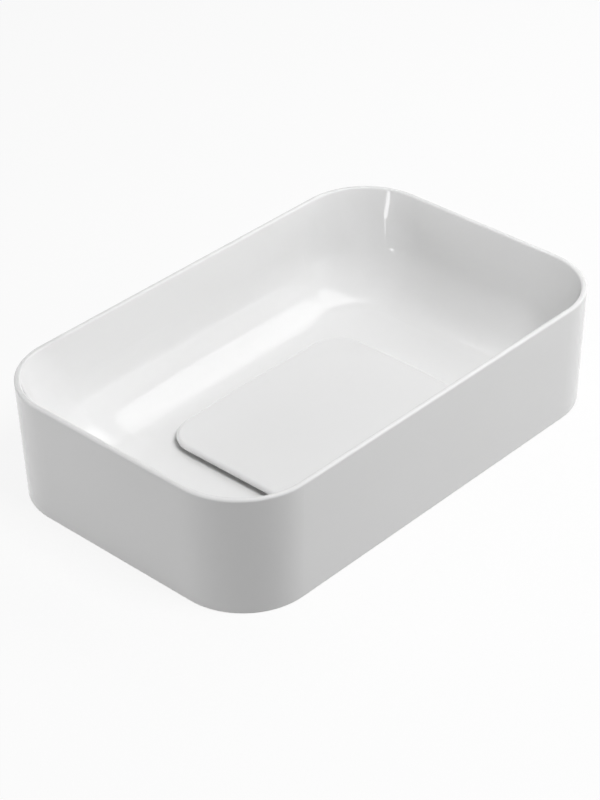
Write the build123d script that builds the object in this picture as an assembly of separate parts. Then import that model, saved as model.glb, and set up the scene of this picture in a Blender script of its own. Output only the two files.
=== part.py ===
from build123d import *
import os
from math import cos, radians, sin, tan

# Ceramic countertop basin with a lift-off ceramic cover over its waste, in millimetres.
# The origin is the middle of the foot, on the worktop. +X runs along the basin, -Y is its front, +Z is up.

# Outside of the basin, at the rim.
basin_length = 600
basin_depth = 384
basin_height = 144
corner_radius = 85
side_inset = 4.3          # how far each side leans in between the rim and the foot
rim_width = 6.2
rim_rounding = 2.4
foot_width = 10
foot_rounding = 2

# Bowl. The end walls lean more than the long walls, and its corners are wide at the bottom.
ceramic_wall = 9.5
end_lean = 12             # degrees
long_lean = 5.5           # degrees
bed_corner = 130          # corner radius that the walls would have at worktop level
bowl_rounding = 70
floor_height = 28.5       # bowl floor over the drain, above the worktop
floor_fall = 0.6          # degrees, down to the slot at the -X end

# Cover, a crowned plate on a skirt. The skirt is open at the -X end, where the water runs in.
cover_length = 284
cover_front_gap = 80      # from the front of the basin to the cover
cover_back_gap = 104      # from the cover to the back of the basin
cover_corner = 38
slot_height = 5.5         # from the floor to the underside of the open end
cover_thickness = 9.5     # in the middle
crown_radius = 3000
cover_edge_rounding = 4.5
cover_lower_rounding = 1
skirt_width = 9
skirt_gap = 0.35          # between the skirt and the floor
skirt_start = -98         # the skirt runs from here round the +X end
rib_width = 5
rib_drop = 3              # how far the locating rib reaches below the floor, into the sump
rib_play = 1.5

# Sump under the cover, which falls to the waste.
seat_land = 17            # floor left under the edge of the cover
slot_land = 5             # the same at the open end
sump_corner = 30
sump_drop = 5
sump_bank = 9             # how far the sides of the sump run in on the way down
sump_brim_rounding = 7
pan_side = 84
pan_corner = 36
pan_drop = 9              # from the floor to the flat pan round the waste

# Waste hole, the boss under it and the webs under the bowl.
flange_seat_play = 0.5
flange_seat_depth = 2.4
waste_hole_diameter = 46
boss_diameter = 84
boss_drop = 1.5           # below the underside of the sump
web_thickness = 9
web_place = 172           # from the middle of the basin to each web
web_rise = 3              # clear of the worktop

# Waste fitting, with a tail of one and a quarter inch pipe thread.
flange_diameter = 65
flange_thickness = 2.8
flange_rounding = 1.2
tail_diameter = 41.91
tail_bore = 36
tail_length = 62          # below the flange
tail_chamfer = 1
relief_width = 2.2        # groove that parts the nut's thread from the trap's thread
relief_depth = 0.9
relief_drop = 1           # below the nut
bridge_drop = 7           # from the top of the flange to the bridge that takes the screw
bridge_depth = 5
bridge_thickness = 3
screw_boss_diameter = 10

# Grate and its countersunk screw.
grate_diameter = 54
grate_thickness = 1.3     # at the edge
grate_crown = 0.9
grate_play = 0.15
slot_count = 12
slot_width = 3
slot_inner_radius = 8.5
slot_outer_radius = 17
screw_diameter = 5
screw_play = 0.1
screw_head_diameter = 9
screw_head_height = 2
screw_length = 13
driver_flats = 3
driver_depth = 1.2

# Seals, washer and nut that hold the waste in the ceramic.
flange_seal_thickness = 1.5
flange_seal_bore = 43
fitting_play = 0.1
boss_seal_diameter = 62
boss_seal_thickness = 4
boss_seal_nose = 2.5
nose_play = 0.4
nose_taper = 1
washer_diameter = 60
washer_thickness = 1.5
nut_flange_diameter = 58
nut_flange_thickness = 2.5
nut_flats = 50
nut_height = 11
nut_chamfer = 1

# Bumpers pushed into the underside of the skirt.
bumper_diameter = 6
bumper_height = 3
bumper_play = 0.05
bumper_gap = 0.05         # between a bumper and the floor
bumper_spacing = 168

# Places worked out from the sizes above.
mouth_length = basin_length - 2 * rim_width
mouth_depth = basin_depth - 2 * rim_width
mouth_corner = corner_radius - rim_width
bed_length = mouth_length - 2 * basin_height * tan(radians(end_lean))
bed_depth = mouth_depth - 2 * basin_height * tan(radians(long_lean))

fall_ratio = tan(radians(floor_fall))
cover_depth = basin_depth - cover_front_gap - cover_back_gap
cover_shift = (cover_front_gap - cover_back_gap) / 2
cover_underside = floor_height - cover_length / 2 * fall_ratio + slot_height
cover_top = cover_underside + cover_thickness
sump_length = cover_length - seat_land - slot_land
sump_depth = cover_depth - 2 * seat_land
sump_middle = (slot_land - seat_land) / 2
sump_level = floor_height - sump_drop
pan_level = floor_height - pan_drop

flange_seat = pan_level - flange_seat_depth
flange_base = flange_seat + flange_seal_thickness
flange_top = flange_base + flange_thickness
grate_seat = flange_top - grate_thickness
grate_top = flange_top + grate_crown
grate_radius = grate_diameter / 2 - grate_play
bridge_top = flange_top - bridge_drop
tail_radius = tail_diameter / 2
fitting_bore = tail_radius + fitting_play
boss_level = pan_level - ceramic_wall - boss_drop
washer_top = boss_level - boss_seal_thickness
nut_top = washer_top - washer_thickness

corners = [(-1, -1), (1, -1), (1, 1), (-1, 1)]
UP = (Align.CENTER, Align.CENTER, Align.MIN)
DOWN = (Align.CENTER, Align.CENTER, Align.MAX)


def rounded(length, depth, corner, inset=0):
    return RectangleRounded(length - 2 * inset, depth - 2 * inset, corner - inset)


def turned(*points):
    # a body of revolution from its radii and heights
    outline = Polyline([(radius, 0, height) for radius, height in points], close=True)
    return revolve(make_face(outline), Axis.Z)


def ring(outer, inner, top, thickness):
    return Pos(0, 0, top) * (
        Cylinder(outer, thickness, align=DOWN) - Cylinder(inner, 2 * thickness)
    )


def crowned(block, top, radius, shift=0):
    return block & Pos(0, shift, top - radius) * Sphere(radius)


def floor_plane():
    return Plane((0, 0, floor_height), z_dir=(-sin(radians(floor_fall)), 0, cos(radians(floor_fall))))


def under_floor(lift):
    # everything below the sloping floor, raised by lift
    size = 2 * basin_length
    return floor_plane().offset(lift).location * Box(size, size, basin_height, align=DOWN)


def outer_form(inset):
    rim = rounded(basin_length, basin_depth, corner_radius, inset)
    foot = rounded(basin_length, basin_depth, corner_radius, inset + side_inset)
    return loft([foot, Pos(0, 0, basin_height) * rim], ruled=True)


def bowl_form(growth):
    # the hollow of the bowl, or with growth the outside of the ceramic round it
    mouth = rounded(mouth_length, mouth_depth, mouth_corner, -growth)
    bed = rounded(bed_length, bed_depth, bed_corner, -growth)
    form = loft([bed, Pos(0, 0, basin_height) * mouth], ruled=True) - under_floor(-growth)
    floor = form.faces().sort_by(Axis.Z)[0]
    return fillet(floor.edges(), bowl_rounding + growth)


def sump_form(growth):
    # banks round the sump, then a fall to the pan, or with growth the outside of the ceramic
    brim_plan = rounded(sump_length, sump_depth, sump_corner, -growth - sump_bank)
    brim = Pos(sump_middle, cover_shift, sump_level + 2 * sump_drop - growth) * brim_plan
    bed_plan = rounded(sump_length, sump_depth, sump_corner, sump_bank - growth)
    bed = Pos(sump_middle, cover_shift, sump_level - growth) * bed_plan
    pan = Pos(0, 0, pan_level - growth) * rounded(pan_side, pan_side, pan_corner, -growth)
    return loft([bed, brim], ruled=True) + loft([pan, bed], ruled=True)


def hollow_form():
    # bowl and sump in one, with the brim of the sump rolled over
    hollow = bowl_form(0) + sump_form(0)
    floor = hollow.faces().filter_by(floor_plane())[0]
    return fillet(floor.inner_wires()[0].edges(), sump_brim_rounding)


def underside_form():
    # the space below the bowl, with the boss and the webs left in it
    space = outer_form(foot_width) - bowl_form(ceramic_wall) - sump_form(ceramic_wall)
    space -= Pos(0, 0, boss_level) * Cylinder(boss_diameter / 2, basin_height, align=UP)
    web = Box(web_thickness, basin_depth, basin_height, align=UP)
    for place in (-web_place, web_place):
        space -= Pos(place, 0, web_rise) * web
    return space


def basin_body():
    body = outer_form(0) - bowl_form(0)
    body = fillet(body.faces().sort_by(Axis.Z)[-1].edges(), rim_rounding)
    body = fillet(body.faces().sort_by(Axis.Z)[0].edges(), foot_rounding)
    body -= hollow_form()
    body -= underside_form()
    body -= Pos(0, 0, flange_seat) * Cylinder(flange_diameter / 2 + flange_seat_play, basin_height, align=UP)
    return body - Cylinder(waste_hole_diameter / 2, basin_height)


def bumper_form(side_x, side_y, play=0):
    place_x = side_x * bumper_spacing / 2
    place_y = cover_shift + side_y * (cover_depth - skirt_width) / 2
    top = floor_height + place_x * fall_ratio + bumper_gap + bumper_height
    return Pos(place_x, place_y, top + play) * Cylinder(bumper_diameter / 2 + play, 2 * bumper_height, align=DOWN)


def bumper(side_x, side_y):
    return bumper_form(side_x, side_y) - under_floor(bumper_gap)


def rail(outline, width, foot, middle=0):
    # a wall under the cover, along a rounded outline but open at the slot
    length, depth, corner, inset = outline
    plan = rounded(length, depth, corner, inset) - rounded(length, depth, corner, inset + width)
    slot_side = Rectangle(cover_length, cover_depth, align=(Align.MAX, Align.CENTER))
    plan = Pos(middle, 0) * plan - Pos(skirt_start, 0) * slot_side
    return Pos(0, cover_shift, foot) * extrude(plan, cover_underside - foot)


def drain_cover():
    plate = extrude(rounded(cover_length, cover_depth, cover_corner), cover_thickness)
    cover = crowned(Pos(0, cover_shift, cover_underside) * plate, cover_top, crown_radius, cover_shift)
    cover = fillet(cover.faces().sort_by(Axis.Z)[-1].edges(), cover_edge_rounding)
    skirt = rail((cover_length, cover_depth, cover_corner, 0), skirt_width, sump_level)
    rib_inset = rib_play + rib_drop * sump_bank / sump_drop
    rib_outline = (sump_length, sump_depth, sump_corner, rib_inset)
    rib = rail(rib_outline, rib_width, floor_height - rib_drop, sump_middle)
    cover += skirt - under_floor(skirt_gap) + rib
    open_end = cover.edges().filter_by_position(Axis.X, -cover_length, skirt_start - cover_lower_rounding)
    lower_edge = open_end.group_by(Axis.Z)[0]
    cover = fillet(lower_edge, cover_lower_rounding)
    for side_x, side_y in corners:
        cover -= bumper_form(side_x, side_y, bumper_play)
    return cover


def waste_body():
    flange_radius = flange_diameter / 2
    rebate_radius = grate_diameter / 2
    bore_radius = tail_bore / 2
    tail_end = flange_base - tail_length
    relief_top = nut_top - nut_height - relief_drop
    body = turned(
        (tail_radius, flange_base),
        (flange_radius, flange_base),
        (flange_radius, flange_top),
        (rebate_radius, flange_top),
        (rebate_radius, grate_seat),
        (bore_radius, grate_seat),
        (bore_radius, tail_end),
        (tail_radius, tail_end),
    )
    body = fillet(body.edges().group_by(Axis.Z)[-1].sort_by(SortBy.RADIUS)[-1], flange_rounding)
    body = chamfer(body.edges().group_by(Axis.Z)[0].sort_by(SortBy.RADIUS)[-1], tail_chamfer)
    arm = Box(tail_bore + tail_radius - bore_radius, bridge_thickness, bridge_depth, align=DOWN)
    for turn in (0, 90):
        body += Pos(0, 0, bridge_top) * Rot(0, 0, turn) * arm
    body += Pos(0, 0, bridge_top) * Cylinder(screw_boss_diameter / 2, bridge_depth, align=DOWN)
    body -= ring(tail_radius + relief_depth, tail_radius - relief_depth, relief_top, relief_width)
    return body - Pos(0, 0, bridge_top) * Cylinder(screw_diameter / 2 + screw_play, 2 * bridge_depth)


def screw_form(play):
    # a countersunk head on a plain shank
    head = screw_head_diameter / 2 + play
    shank = screw_diameter / 2 + play
    return turned(
        (0, grate_top),
        (head, grate_top),
        (shank, grate_top - screw_head_height),
        (shank, grate_top - screw_length),
        (0, grate_top - screw_length),
    )


def waste_grate():
    disc = Pos(0, 0, grate_seat) * Cylinder(grate_radius, grate_thickness + grate_crown, align=UP)
    crown_of_disc = (grate_radius**2 + grate_crown**2) / (2 * grate_crown)
    grate = crowned(disc, grate_top, crown_of_disc)
    slot_length = slot_outer_radius - slot_inner_radius
    slot = SlotOverall(slot_length, slot_width)
    places = PolarLocations((slot_inner_radius + slot_outer_radius) / 2, slot_count)
    slots = extrude(Sketch() + [place * slot for place in places], flange_top)
    return grate - Pos(0, 0, grate_seat - flange_thickness) * slots - screw_form(screw_play)


def grate_screw():
    driver = extrude(RegularPolygon(driver_flats / 2, 6, major_radius=False), driver_depth)
    return screw_form(0) - Pos(0, 0, grate_top - driver_depth) * driver


def flange_seal():
    return ring(flange_diameter / 2, flange_seal_bore / 2, flange_base, flange_seal_thickness)


def boss_seal():
    nose = waste_hole_diameter / 2 - nose_play
    return turned(
        (fitting_bore, washer_top),
        (boss_seal_diameter / 2, washer_top),
        (boss_seal_diameter / 2, boss_level),
        (nose, boss_level),
        (nose - nose_taper, boss_level + boss_seal_nose),
        (fitting_bore, boss_level + boss_seal_nose),
    )


def slip_washer():
    return ring(washer_diameter / 2, fitting_bore, washer_top, washer_thickness)


def back_nut():
    hexagon = extrude(RegularPolygon(nut_flats / 2, 6, major_radius=False), -nut_height)
    hexagon = chamfer(hexagon.faces().sort_by(Axis.Z)[0].edges(), nut_chamfer)
    collar = Cylinder(nut_flange_diameter / 2, nut_flange_thickness, align=DOWN)
    bore = Cylinder(fitting_bore, 3 * nut_height)
    return Pos(0, 0, nut_top) * (hexagon + collar - bore)


parts = {
    "basin_body": basin_body(),
    "drain_cover": drain_cover(),
    "waste_body": waste_body(),
    "waste_grate": waste_grate(),
    "grate_screw": grate_screw(),
    "flange_seal": flange_seal(),
    "boss_seal": boss_seal(),
    "slip_washer": slip_washer(),
    "back_nut": back_nut(),
}
for number, (side_x, side_y) in enumerate(corners, start=1):
    parts[f"cover_bumper_{number}"] = bumper(side_x, side_y)

os.makedirs("parts", exist_ok=True)
for name, shape in parts.items():
    export_step(shape, f"parts/{name}.step")
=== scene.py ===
from math import cos, pi, radians, sin

import bpy
from mathutils import Matrix, Vector


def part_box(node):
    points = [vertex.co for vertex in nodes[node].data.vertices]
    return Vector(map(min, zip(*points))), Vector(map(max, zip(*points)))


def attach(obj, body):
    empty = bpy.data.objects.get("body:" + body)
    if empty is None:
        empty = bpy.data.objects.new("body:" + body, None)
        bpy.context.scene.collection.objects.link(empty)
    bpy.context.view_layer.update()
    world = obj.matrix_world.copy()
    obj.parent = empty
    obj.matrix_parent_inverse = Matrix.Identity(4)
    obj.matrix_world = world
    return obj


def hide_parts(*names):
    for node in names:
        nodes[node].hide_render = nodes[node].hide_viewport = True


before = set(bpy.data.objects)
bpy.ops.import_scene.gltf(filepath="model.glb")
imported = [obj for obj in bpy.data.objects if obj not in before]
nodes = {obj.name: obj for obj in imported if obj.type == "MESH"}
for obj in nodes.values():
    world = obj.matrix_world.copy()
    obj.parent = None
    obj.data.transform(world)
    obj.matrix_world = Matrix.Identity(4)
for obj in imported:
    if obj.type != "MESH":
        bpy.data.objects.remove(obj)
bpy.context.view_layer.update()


# Basin. One piece of white vitreous china, slip cast in a plaster mould and glazed all over in one firing.
# The foot is wiped bare before it goes into the kiln, so that it doesn't stick to the shelf, and the
# hollow underneath has only the thin, dry glaze that the spray leaves there.

def feed(tree, socket, value):
    # a socket takes a plain value or what another node puts out
    if isinstance(value, bpy.types.NodeSocket):
        tree.links.new(value, socket)
    else:
        socket.default_value = value


def calculate(tree, operation, first, second=0.0):
    node = tree.nodes.new("ShaderNodeMath")
    node.operation = operation
    feed(tree, node.inputs[0], first)
    feed(tree, node.inputs[1], second)
    return node.outputs[0]


def remap(tree, value, low, high, new_low, new_high):
    node = tree.nodes.new("ShaderNodeMapRange")
    feed(tree, node.inputs["Value"], value)
    for label, number in (("From Min", low), ("From Max", high), ("To Min", new_low), ("To Max", new_high)):
        feed(tree, node.inputs[label], number)
    return node.outputs["Result"]


def noise(tree, place, scale, detail=2.0):
    node = tree.nodes.new("ShaderNodeTexNoise")
    feed(tree, node.inputs["Vector"], place)
    feed(tree, node.inputs["Scale"], scale)
    feed(tree, node.inputs["Detail"], detail)
    return node.outputs["Fac"]


def tint(tree, share, plain, tinted):
    node = tree.nodes.new("ShaderNodeMix")
    node.data_type = "RGBA"
    feed(tree, node.inputs["Factor"], share)
    feed(tree, node.inputs["A"], plain)
    feed(tree, node.inputs["B"], tinted)
    return node.outputs["Result"]


def relief(tree, height):
    # turns a height in metres into a normal
    node = tree.nodes.new("ShaderNodeBump")
    node.inputs["Strength"].default_value = 1.0
    node.inputs["Distance"].default_value = 1.0
    feed(tree, node.inputs["Height"], height)
    return node.outputs["Normal"]


def new_group(name, inputs, outputs):
    group = bpy.data.node_groups.new(name, "ShaderNodeTree")
    for label, kind in inputs:
        group.interface.new_socket(name=label, in_out="INPUT", socket_type=kind)
    for label, kind in outputs:
        group.interface.new_socket(name=label, in_out="OUTPUT", socket_type=kind)
    return group, group.nodes.new("NodeGroupInput").outputs, group.nodes.new("NodeGroupOutput").inputs


def place_group(tree, group, **values):
    node = tree.nodes.new("ShaderNodeGroup")
    node.node_tree = group
    for label, value in values.items():
        feed(tree, node.inputs[label], value)
    return node.outputs


def new_material(name):
    material = bpy.data.materials.new(name)
    material.use_nodes = True
    tree = material.node_tree
    place = tree.nodes.new("ShaderNodeTexCoord").outputs["Object"]
    return material, tree, tree.nodes["Principled BSDF"].inputs, place


def paint(node_name, material):
    slots = nodes[node_name].data.materials
    slots.clear()
    slots.append(material)


def fired_glaze_group():
    # long waves left by the run of the glaze, a fine peel, and a gloss that is a little uneven
    wave_scale, peel_scale, gloss_scale, pool_scale = 16.0, 420.0, 45.0, 7.0
    dullest, glossiest = 1.25, 0.8
    group, take, give = new_group(
        "fired_glaze",
        [("Place", "NodeSocketVector"), ("Wave", "NodeSocketFloat"), ("Peel", "NodeSocketFloat"),
         ("Gloss", "NodeSocketFloat")],
        [("Height", "NodeSocketFloat"), ("Roughness", "NodeSocketFloat"), ("Pooling", "NodeSocketFloat")],
    )
    waves = noise(group, take["Place"], wave_scale, 1.0)
    peel = noise(group, take["Place"], peel_scale, 3.0)
    high = calculate(group, "MULTIPLY", waves, take["Wave"])
    fine = calculate(group, "MULTIPLY", peel, take["Peel"])
    feed(group, give["Height"], calculate(group, "ADD", high, fine))
    uneven = remap(group, noise(group, take["Place"], gloss_scale, 3.0), 0.3, 0.7, glossiest, dullest)
    feed(group, give["Roughness"], calculate(group, "MULTIPLY", take["Gloss"], uneven))
    pools = noise(group, take["Place"], pool_scale, 2.0)
    feed(group, give["Pooling"], remap(group, pools, 0.35, 0.7, 0.0, 1.0))
    return group


fired_glaze = fired_glaze_group()
glaze_white = (0.87, 0.87, 0.87, 1)
glaze_pooled = (0.862, 0.862, 0.86, 1)
glaze_gloss = 0.035
glaze_wave = 0.00004
glaze_peel = 0.0000006
bare_clay = (0.70, 0.67, 0.62, 1)
dry_glaze = (0.80, 0.795, 0.78, 1)
# grey painted under the cover and on its underside, a painted shade and not a colour of the glaze
painted_shade_grey = (0.62, 0.62, 0.61, 1)
foot_mark = 0.0005          # height to which the foot is wiped bare
dry_grain_scale = 900.0
dry_grain_height = 0.00006
dry_dullness = 0.3          # added to the roughness under the basin
foot_dullness = 0.35        # added again on the bare foot
cover_low, cover_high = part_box("drain_cover")
cover_middle = (cover_low + cover_high) / 2
cover_half = (cover_high - cover_low) / 2
sump_edge = 0.006           # width over which the painted shade fades out
sump_level = 0.0283         # the brim of the sump
sump_brim = 0.0006          # height over which the painted shade fades out


def basin_glaze():
    material, tree, surface, place = new_material("basin_glaze")
    glaze = place_group(tree, fired_glaze, Place=place, Wave=glaze_wave, Peel=glaze_peel, Gloss=glaze_gloss)
    spot = tree.nodes.new("ShaderNodeSeparateXYZ")
    feed(tree, spot.inputs[0], place)
    facing = tree.nodes.new("ShaderNodeSeparateXYZ")
    feed(tree, facing.inputs[0], tree.nodes.new("ShaderNodeNewGeometry").outputs["Normal"])
    # the underside faces down, and the foot is the lowest of it
    under = remap(tree, facing.outputs["Z"], -0.12, -0.06, 1.0, 0.0)
    foot = calculate(tree, "MULTIPLY", remap(tree, spot.outputs["Z"], 0.0, foot_mark, 1.0, 0.0), under)
    # under the cover the floor of the sump is painted darker, a painted shade for the dark of the slot
    from_middle = tree.nodes.new("ShaderNodeVectorMath")
    from_middle.operation = "SUBTRACT"
    feed(tree, from_middle.inputs[0], place)
    from_middle.inputs[1].default_value = cover_middle
    across = tree.nodes.new("ShaderNodeSeparateXYZ")
    feed(tree, across.inputs[0], from_middle.outputs[0])
    sides = []
    for axis, half in (("X", cover_half.x), ("Y", cover_half.y)):
        reach = calculate(tree, "ABSOLUTE", across.outputs[axis])
        sides.append(remap(tree, reach, half - 2 * sump_edge, half - sump_edge, 1.0, 0.0))
    painted_shade_mask = calculate(tree, "MULTIPLY", sides[0], sides[1])
    deep = remap(tree, spot.outputs["Z"], sump_level, sump_level + sump_brim, 1.0, 0.0)
    painted_shade_mask = calculate(tree, "MULTIPLY", painted_shade_mask, deep)
    colour = tint(tree, glaze["Pooling"], glaze_white, glaze_pooled)
    # painted shade: the sump under the cover is greyed
    colour = tint(tree, painted_shade_mask, colour, painted_shade_grey)
    colour = tint(tree, under, colour, dry_glaze)
    feed(tree, surface["Base Color"], tint(tree, foot, colour, bare_clay))
    grain = calculate(tree, "MULTIPLY", noise(tree, place, dry_grain_scale, 4.0), dry_grain_height)
    dry = calculate(tree, "MULTIPLY", calculate(tree, "MAXIMUM", under, foot), grain)
    feed(tree, surface["Normal"], relief(tree, calculate(tree, "ADD", glaze["Height"], dry)))
    satin = calculate(tree, "MULTIPLY", under, dry_dullness)
    matt = calculate(tree, "MULTIPLY", foot, foot_dullness)
    rough = calculate(tree, "ADD", glaze["Roughness"], calculate(tree, "ADD", satin, matt))
    feed(tree, surface["Roughness"], rough)
    return material


paint("basin_body", basin_glaze())


# Cover. A second casting of the same china, a crowned plate on a skirt, with a rib that keeps it in place
# over the sump. It has the same glaze as the bowl, with a painted shade in grey on its underside, and only
# lies there.

cover_offset = (0.37, 0.11, 0.23)     # moves the pattern, so that it doesn't run on from the bowl


def cover_glaze():
    material, tree, surface, place = new_material("cover_glaze")
    moved = tree.nodes.new("ShaderNodeMapping")
    feed(tree, moved.inputs["Vector"], place)
    moved.inputs["Location"].default_value = cover_offset
    glaze = place_group(
        tree, fired_glaze, Place=moved.outputs[0], Wave=glaze_wave, Peel=glaze_peel, Gloss=glaze_gloss
    )
    facing = tree.nodes.new("ShaderNodeSeparateXYZ")
    feed(tree, facing.inputs[0], tree.nodes.new("ShaderNodeNewGeometry").outputs["Normal"])
    # faces turned down are greyed, a painted shade under the cover
    under = remap(tree, facing.outputs["Z"], -0.9, -0.6, 1.0, 0.0)
    colour = tint(tree, glaze["Pooling"], glaze_white, glaze_pooled)
    feed(tree, surface["Base Color"], tint(tree, under, colour, painted_shade_grey))
    feed(tree, surface["Roughness"], glaze["Roughness"])
    feed(tree, surface["Normal"], relief(tree, glaze["Height"]))
    return material


paint("drain_cover", cover_glaze())


# Bumpers. Four plugs of clear silicone rubber, pushed into blind holes in the skirt of the cover. The cover
# lies on them, so that it doesn't rattle or chip the glaze of the floor.

silicone_clear = (0.86, 0.88, 0.88, 1)
silicone_cloudy = (0.80, 0.83, 0.83, 1)


def moulded_skin_group():
    # the fine grain that a mould leaves on rubber and plastic, with a few larger dull patches
    grain_scale, patch_scale = 2600.0, 120.0
    group, take, give = new_group(
        "moulded_skin",
        [("Place", "NodeSocketVector"), ("Grain", "NodeSocketFloat"), ("Roughness", "NodeSocketFloat")],
        [("Height", "NodeSocketFloat"), ("Roughness", "NodeSocketFloat"), ("Patches", "NodeSocketFloat")],
    )
    grain = noise(group, take["Place"], grain_scale, 4.0)
    patches = remap(group, noise(group, take["Place"], patch_scale, 3.0), 0.35, 0.7, 0.0, 1.0)
    feed(group, give["Height"], calculate(group, "MULTIPLY", grain, take["Grain"]))
    spread = remap(group, patches, 0.0, 1.0, 0.88, 1.1)
    feed(group, give["Roughness"], calculate(group, "MULTIPLY", take["Roughness"], spread))
    feed(group, give["Patches"], patches)
    return group


moulded_skin = moulded_skin_group()


def silicone():
    material, tree, surface, place = new_material("clear_silicone")
    skin = place_group(tree, moulded_skin, Place=place, Grain=0.00001, Roughness=0.42)
    feed(tree, surface["Base Color"], tint(tree, skin["Patches"], silicone_clear, silicone_cloudy))
    feed(tree, surface["Roughness"], skin["Roughness"])
    feed(tree, surface["Normal"], relief(tree, skin["Height"]))
    surface["Transmission Weight"].default_value = 0.5
    surface["IOR"].default_value = 1.41
    return material


bumper_silicone = silicone()
for name in nodes:
    if name.startswith("cover_bumper"):
        paint(name, bumper_silicone)


# Waste. Turned from brass bar and plated with chromium, with a flange that holds the grate, a cross of thin
# arms that takes its screw, and a tail that is cut with the parallel pipe thread of 11 turns to the inch.

waste_low, waste_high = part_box("waste_body")
nut_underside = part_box("back_nut")[0].z
flange_radius = waste_high.x
flange_top = waste_high.z
flange_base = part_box("flange_seal")[1].z
flange_rounding = 0.0012
grate_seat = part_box("waste_grate")[0].z
rebate_radius = 0.027
bore_radius = 0.018
tail_end = waste_low.z
tail_chamfer = 0.001
thread_crest = 0.020955
thread_root = 0.0195
thread_sink = 0.0002        # how far the foot of the thread is sunk into the core
thread_pitch = 0.0254 / 11
tooth_share = 0.82          # of the pitch, at the foot of the tooth
crest_share = 0.18          # of the foot, at its crest
thread_steps = 64           # round each turn
relief_low = nut_underside - 0.0032
relief_high = nut_underside - 0.001
relief_floor = thread_root + 0.00055
bridge_top = flange_top - 0.007
bridge_depth = 0.005
arm_thickness = 0.003
arm_sink = 0.001            # how far the arms run into the wall of the tail
boss_radius = 0.005
screw_hole_radius = 0.0026
body_arris = 0.00025
arm_arris = 0.0004
boss_arris = 0.0003
chrome_bright = (0.62, 0.63, 0.65, 1)
chrome_dull = (0.56, 0.57, 0.59, 1)


def deselect_all():
    if bpy.context.object and bpy.context.object.mode != "OBJECT":
        bpy.ops.object.mode_set(mode="OBJECT")
    bpy.ops.object.select_all(action="DESELECT")


def fix_in_place():
    bpy.ops.object.mode_set(mode="OBJECT")
    bpy.ops.object.transform_apply(location=True, rotation=True, scale=True)


def turn(name, outline, segments=96):
    # a closed section of radii and heights, swept round the middle one ring after another
    deselect_all()
    radius, height = outline[0]
    bpy.ops.mesh.primitive_circle_add(vertices=segments, radius=radius, location=(0, 0, height))
    piece = bpy.context.object
    piece.name = name
    fix_in_place()
    bpy.ops.object.mode_set(mode="EDIT")
    bpy.ops.mesh.select_all(action="SELECT")
    for new_radius, new_height in outline[1:]:
        bpy.ops.mesh.extrude_region_move(TRANSFORM_OT_translate={"value": (0, 0, new_height - height)})
        wider = new_radius / radius
        bpy.ops.transform.resize(value=(wider, wider, 1), center_override=(0, 0, new_height))
        radius, height = new_radius, new_height
    bpy.ops.mesh.select_all(action="DESELECT")
    bpy.ops.mesh.select_non_manifold()
    bpy.ops.mesh.bridge_edge_loops()
    bpy.ops.mesh.select_all(action="SELECT")
    bpy.ops.mesh.normals_make_consistent(inside=False)
    bpy.ops.object.mode_set(mode="OBJECT")
    return piece


def soften(piece, width, smooth_angle=40):
    # small rounded arrises, then smooth shading over everything but the real edges
    deselect_all()
    piece.select_set(True)
    bpy.context.view_layer.objects.active = piece
    bevel = piece.modifiers.new("arris", "BEVEL")
    bevel.width = width
    bevel.segments = 2
    bevel.limit_method = "ANGLE"
    bevel.angle_limit = radians(35)
    bpy.ops.object.modifier_apply(modifier=bevel.name)
    bpy.ops.object.shade_smooth_by_angle(angle=radians(smooth_angle))


def join(name, pieces):
    deselect_all()
    for piece in pieces:
        piece.select_set(True)
    bpy.context.view_layer.objects.active = pieces[0]
    bpy.ops.object.join()
    pieces[0].name = name
    return pieces[0]


def helical_ridge(crest, root, pitch, low, high):
    # one tooth of the thread, wound round the tail, its foot sunk a little into the core
    tooth = pitch * tooth_share
    turns = (high - low - tooth) / pitch
    middle = (crest + root) / 2
    deselect_all()
    bpy.ops.mesh.primitive_plane_add(size=1, rotation=(pi / 2, 0, 0))
    ridge = bpy.context.object
    ridge.scale = (crest - root, tooth, 1)
    ridge.location = (middle, 0, low + tooth / 2)
    fix_in_place()
    bpy.ops.object.mode_set(mode="EDIT")
    bpy.ops.mesh.select_all(action="DESELECT")
    bpy.ops.object.mode_set(mode="OBJECT")
    for vertex in ridge.data.vertices:
        vertex.select = vertex.co.x > middle
    bpy.ops.object.mode_set(mode="EDIT")
    bpy.ops.transform.resize(value=(1, 1, crest_share), center_override=(crest, 0, low + tooth / 2))
    bpy.ops.mesh.select_all(action="SELECT")
    bpy.ops.mesh.delete(type="ONLY_FACE")
    bpy.ops.object.mode_set(mode="OBJECT")
    winding = ridge.modifiers.new("winding", "SCREW")
    winding.axis = "Z"
    winding.angle = turns * 2 * pi
    winding.screw_offset = turns * pitch
    winding.steps = winding.render_steps = round(turns * thread_steps)
    bpy.ops.object.modifier_apply(modifier=winding.name)
    bpy.ops.object.mode_set(mode="EDIT")
    bpy.ops.mesh.select_all(action="SELECT")
    bpy.ops.mesh.fill_holes(sides=4)
    bpy.ops.mesh.select_all(action="SELECT")
    bpy.ops.mesh.normals_make_consistent(inside=False)
    bpy.ops.object.mode_set(mode="OBJECT")
    bpy.ops.object.shade_smooth_by_angle(angle=radians(25))
    return ridge


def waste_bridge():
    arms = []
    for quarter in (0, 1):
        deselect_all()
        bpy.ops.mesh.primitive_cube_add(size=1, rotation=(0, 0, quarter * pi / 2))
        arm = bpy.context.object
        arm.scale = (2 * (bore_radius + arm_sink), arm_thickness, bridge_depth)
        arm.location = (0, 0, bridge_top - bridge_depth / 2)
        fix_in_place()
        soften(arm, arm_arris)
        arms.append(arm)
    boss = turn("screw_boss", [
        (boss_radius, bridge_top), (boss_radius, bridge_top - bridge_depth),
        (screw_hole_radius, bridge_top - bridge_depth), (screw_hole_radius, bridge_top),
    ], 48)
    soften(boss, boss_arris)
    return arms + [boss]


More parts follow.
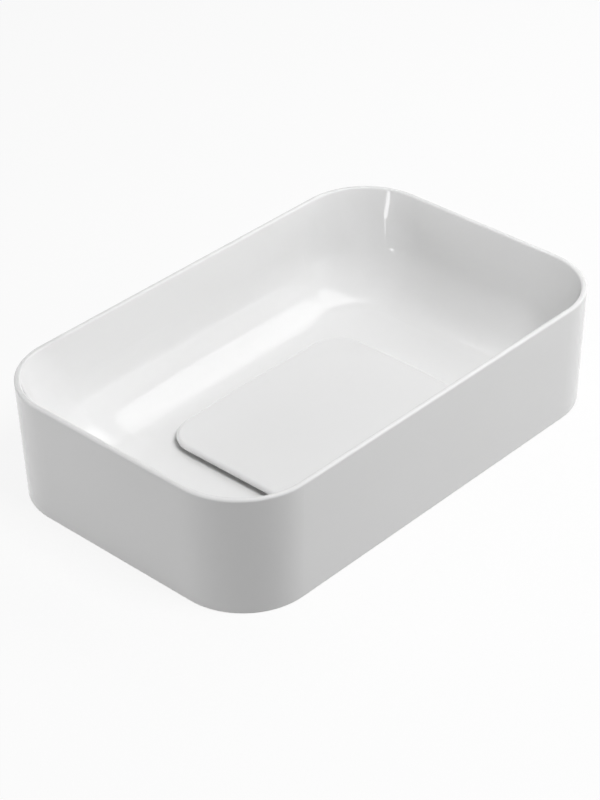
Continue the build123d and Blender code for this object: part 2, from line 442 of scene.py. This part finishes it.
def waste_turning():
    rounded_edge = []
    for step in range(5):
        angle = radians(22.5 * step)
        reach = flange_radius - flange_rounding * (1 - cos(angle))
        rounded_edge.append((reach, flange_top - flange_rounding * (1 - sin(angle))))
    body = turn("waste", rounded_edge + [
        (rebate_radius, flange_top), (rebate_radius, grate_seat), (bore_radius, grate_seat),
        (bore_radius, tail_end), (thread_root - 0.0003, tail_end), (thread_root, tail_end + tail_chamfer),
        (thread_root, relief_low), (relief_floor, relief_low + 0.0001),
        (relief_floor, relief_high), (thread_crest, relief_high + 0.0002),
        (thread_crest, flange_base), (flange_radius, flange_base),
    ])
    soften(body, body_arris)
    return body


def turned_metal_group():
    # rings left by the lathe round the middle, and a gloss that drifts over the piece
    drift_scale = 90.0
    group, take, give = new_group(
        "turned_metal",
        [("Place", "NodeSocketVector"), ("Ring Spacing", "NodeSocketFloat"),
         ("Ring Depth", "NodeSocketFloat"), ("Roughness", "NodeSocketFloat")],
        [("Height", "NodeSocketFloat"), ("Roughness", "NodeSocketFloat"), ("Drift", "NodeSocketFloat")],
    )
    spot = group.nodes.new("ShaderNodeSeparateXYZ")
    feed(group, spot.inputs[0], take["Place"])
    across = calculate(group, "MULTIPLY", spot.outputs["X"], spot.outputs["X"])
    along = calculate(group, "MULTIPLY", spot.outputs["Y"], spot.outputs["Y"])
    radius = calculate(group, "SQRT", calculate(group, "ADD", across, along))
    slant = calculate(group, "ADD", radius, spot.outputs["Z"])
    travel = calculate(group, "DIVIDE", slant, take["Ring Spacing"])
    ring_line = group.nodes.new("ShaderNodeCombineXYZ")
    feed(group, ring_line.inputs["X"], travel)
    rings = noise(group, ring_line.outputs[0], 1.0, 3.0)
    feed(group, give["Height"], calculate(group, "MULTIPLY", rings, take["Ring Depth"]))
    drift = remap(group, noise(group, take["Place"], drift_scale, 3.0), 0.3, 0.7, 0.0, 1.0)
    spread = remap(group, drift, 0.0, 1.0, 0.8, 1.3)
    feed(group, give["Roughness"], calculate(group, "MULTIPLY", take["Roughness"], spread))
    feed(group, give["Drift"], drift)
    return group


turned_metal = turned_metal_group()


def metal(name, clean, dull, spacing, depth, roughness):
    material, tree, surface, place = new_material(name)
    values = {"Place": place, "Ring Spacing": spacing, "Ring Depth": depth, "Roughness": roughness}
    finish = place_group(tree, turned_metal, **values)
    feed(tree, surface["Base Color"], tint(tree, finish["Drift"], clean, dull))
    feed(tree, surface["Roughness"], finish["Roughness"])
    feed(tree, surface["Normal"], relief(tree, finish["Height"]))
    surface["Metallic"].default_value = 1.0
    return material


thread_foot = thread_root - thread_sink
tail_thread = helical_ridge(thread_crest, thread_foot, thread_pitch, tail_end + tail_chamfer, relief_low)
waste = join("waste", [waste_turning(), tail_thread] + waste_bridge())
waste.data.materials.clear()
waste.data.materials.append(metal("chromium_plating", chrome_bright, chrome_dull, 0.0006, 0.000001, 0.08))
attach(waste, "basin")
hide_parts("waste_body")


# Grate and screw. The grate is pressed from stainless sheet, slotted and brushed in rings. One countersunk
# socket screw of the same steel pulls it down onto its seat in the flange.

steel_clean = (0.60, 0.59, 0.575, 1)
steel_dull = (0.52, 0.515, 0.50, 1)
paint("waste_grate", metal("brushed_grate", steel_clean, steel_dull, 0.00035, 0.000006, 0.3))
paint("grate_screw", metal("turned_screw", steel_clean, steel_dull, 0.0002, 0.000003, 0.24))


# Seals. Both are moulded in black rubber. The flat one lies under the flange, and the tapered one is pressed
# up into the hole from below. They carry the fine grain and the bloom of the mould.

rubber_black = (0.022, 0.022, 0.024, 1)
rubber_bloom = (0.045, 0.045, 0.047, 1)


def seal_rubber():
    material, tree, surface, place = new_material("seal_rubber")
    skin = place_group(tree, moulded_skin, Place=place, Grain=0.00003, Roughness=0.68)
    feed(tree, surface["Base Color"], tint(tree, skin["Patches"], rubber_black, rubber_bloom))
    feed(tree, surface["Roughness"], skin["Roughness"])
    feed(tree, surface["Normal"], relief(tree, skin["Height"]))
    return material


black_rubber = seal_rubber()
for name in ("flange_seal", "boss_seal"):
    paint(name, black_rubber)


# Slip washer. A ring stamped from white polyethylene sheet, waxy and slightly translucent. It lets the nut
# turn under the tapered seal without dragging it round.

washer_white = (0.80, 0.80, 0.775, 1)
washer_worn = (0.74, 0.735, 0.70, 1)


def polyethylene():
    material, tree, surface, place = new_material("washer_polyethylene")
    skin = place_group(tree, moulded_skin, Place=place, Grain=0.000015, Roughness=0.5)
    feed(tree, surface["Base Color"], tint(tree, skin["Patches"], washer_white, washer_worn))
    feed(tree, surface["Roughness"], skin["Roughness"])
    feed(tree, surface["Normal"], relief(tree, skin["Height"]))
    surface["Subsurface Weight"].default_value = 0.2
    surface["Subsurface Scale"].default_value = 0.001
    return material


paint("slip_washer", polyethylene())


# Back nut. Hot stamped in brass, faced and threaded on the lathe, and left unplated because it sits out of
# sight under the basin. It screws up the tail and clamps the waste to the china.

brass_clean = (0.78, 0.57, 0.27, 1)
brass_dull = (0.62, 0.44, 0.20, 1)
paint("back_nut", metal("nut_brass", brass_clean, brass_dull, 0.0005, 0.000005, 0.27))


# Studio. A plain pale floor that runs out of the picture on every side. It keeps the soft shadow of the
# basin, and the eye and the glaze see it nearly white.

floor_side = 16
floor_drop = -0.0003                  # keeps the floor and the foot from lying in one plane
floor_grey = (0.45, 0.45, 0.45, 1)    # what it throws back at the basin
floor_pale = (0.9, 0.9, 0.9, 1)       # what is seen of it
floor_white_share = 0.88
floor_grain_scale = 300.0
floor_grain_height = 0.0001


def studio_floor_paper():
    material, tree, surface, place = new_material("studio_floor")
    surface["Roughness"].default_value = 0.9
    surface["Specular IOR Level"].default_value = 0.0
    rays = tree.nodes.new("ShaderNodeLightPath").outputs
    seen = calculate(tree, "MAXIMUM", rays["Is Camera Ray"], rays["Is Glossy Ray"])
    seen = calculate(tree, "MAXIMUM", seen, rays["Is Transmission Ray"])
    feed(tree, surface["Base Color"], tint(tree, seen, floor_grey, floor_pale))
    grain = calculate(tree, "MULTIPLY", noise(tree, place, floor_grain_scale), floor_grain_height)
    feed(tree, surface["Normal"], relief(tree, grain))
    mix = tree.nodes.new("ShaderNodeMixShader")
    feed(tree, mix.inputs[0], calculate(tree, "MULTIPLY", seen, floor_white_share))
    feed(tree, mix.inputs[1], tree.nodes["Principled BSDF"].outputs[0])
    feed(tree, mix.inputs[2], tree.nodes.new("ShaderNodeEmission").outputs[0])
    feed(tree, tree.nodes["Material Output"].inputs["Surface"], mix.outputs[0])
    return material


deselect_all()
bpy.ops.mesh.primitive_plane_add(size=floor_side, location=(0, 0, floor_drop))
studio_floor = bpy.context.object
studio_floor.name = "studio_floor"
studio_floor.data.materials.append(studio_floor_paper())


# Light. A large softbox overhead to the right makes the long reflection in the back of the bowl. The other
# panels fill, each at the strength that gives the walls of the basin their tone, or show in the gloss alone.

basin_aim = (0, 0, 0.07)
back_wall_aim = (0.2, 0.17, 0.07)
far_corner_aim = (0.28, 0.13, 0.12)

def panel(name, place, aim, width, depth, watts, gleam=False, shape="RECTANGLE"):
    # a gleam shows only in the gloss of the piece, and any other panel only lights it
    light = bpy.data.lights.new(name, "AREA")
    light.shape = shape
    light.size = width
    light.size_y = depth
    light.energy = watts
    lamp = bpy.data.objects.new(name, light)
    bpy.context.scene.collection.objects.link(lamp)
    lamp.location = place
    lamp.rotation_euler = (Vector(place) - Vector(aim)).to_track_quat("Z", "Y").to_euler()
    lamp.visible_glossy = gleam
    lamp.visible_diffuse = not gleam
    lamp.visible_camera = False


panel("softbox", (1.25, 0.25, 1.5), (1.25, 0.25, 0), 0.9, 1.6, 9.3)
panel("ceiling", (0, 0, 2.6), (0, 0, 0), 4, 4, 8.1)
panel("high_front", (0, -1.2, 2.2), basin_aim, 1, 1, 36.4)
panel("high_back", (0, 1.2, 2.2), basin_aim, 1, 1, 2.6)
panel("low_right", (1.8, -0.9, 0.35), basin_aim, 1, 0.5, 7.7)
panel("front_right", (1.6, -1.6, 1.0), basin_aim, 1.2, 1.2, 9.4)
panel("low_left", (-1.9, 0.5, 0.25), basin_aim, 1, 0.4, 8.1)
panel("back_left", (-1.5, 1.3, 0.35), basin_aim, 1, 0.5, 4.7)
panel("softbox_gleam", (1.18, 0.2, 1.48), (1.18, 0.2, 0), 1.0, 1.75, 5.2, gleam=True, shape="ELLIPSE")
panel("softbox_heart", (1.08, 0.05, 1.46), (1.08, 0.05, 0), 0.8, 1.3, 2.5, gleam=True, shape="ELLIPSE")
panel("front_gleam", (1.0, -1.8, 1.35), back_wall_aim, 2.2, 1.1, 3.4, gleam=True)
panel("strip_gleam", (1.05, -1.78, 0.8), back_wall_aim, 1.3, 0.12, 0.6, gleam=True)
panel("corner_gleam", (-0.9, -0.04, 0.28), far_corner_aim, 0.22, 0.034, 0.17, gleam=True)

studio = bpy.data.worlds.new("studio")
bpy.context.scene.world = studio
studio.use_nodes = True
sky = studio.node_tree
sky_rays = sky.nodes.new("ShaderNodeLightPath").outputs
backdrop = calculate(sky, "MAXIMUM", sky_rays["Is Camera Ray"], sky_rays["Is Glossy Ray"])
backdrop = calculate(sky, "MAXIMUM", backdrop, sky_rays["Is Transmission Ray"])
sky.nodes["Background"].inputs["Color"].default_value = (1, 1, 1, 1)
feed(sky, sky.nodes["Background"].inputs["Strength"], backdrop)


# Camera. A long lens above the near left corner, turned a little about its own axis.

camera_azimuth = radians(-46.68)
camera_elevation = radians(33.86)
camera_roll = radians(-1.10)
camera_distance = 2.6059
camera_sensor = 36
camera_lens = 108.09
camera_target = Vector((-0.0311, -0.0153, 0.0719))
camera_back = Vector((
    sin(camera_azimuth) * cos(camera_elevation),
    -cos(camera_azimuth) * cos(camera_elevation),
    sin(camera_elevation),
))
camera = bpy.data.objects.new("camera", bpy.data.cameras.new("camera"))
bpy.context.scene.collection.objects.link(camera)
camera.data.sensor_width = camera_sensor
camera.data.lens = camera_lens
level = camera_back.to_track_quat("Z", "Y").to_matrix()
camera.rotation_euler = (level @ Matrix.Rotation(camera_roll, 3, "Z")).to_euler()
camera.location = camera_target + camera_distance * camera_back
bpy.context.scene.camera = camera
bpy.context.scene.view_settings.view_transform = "Standard"
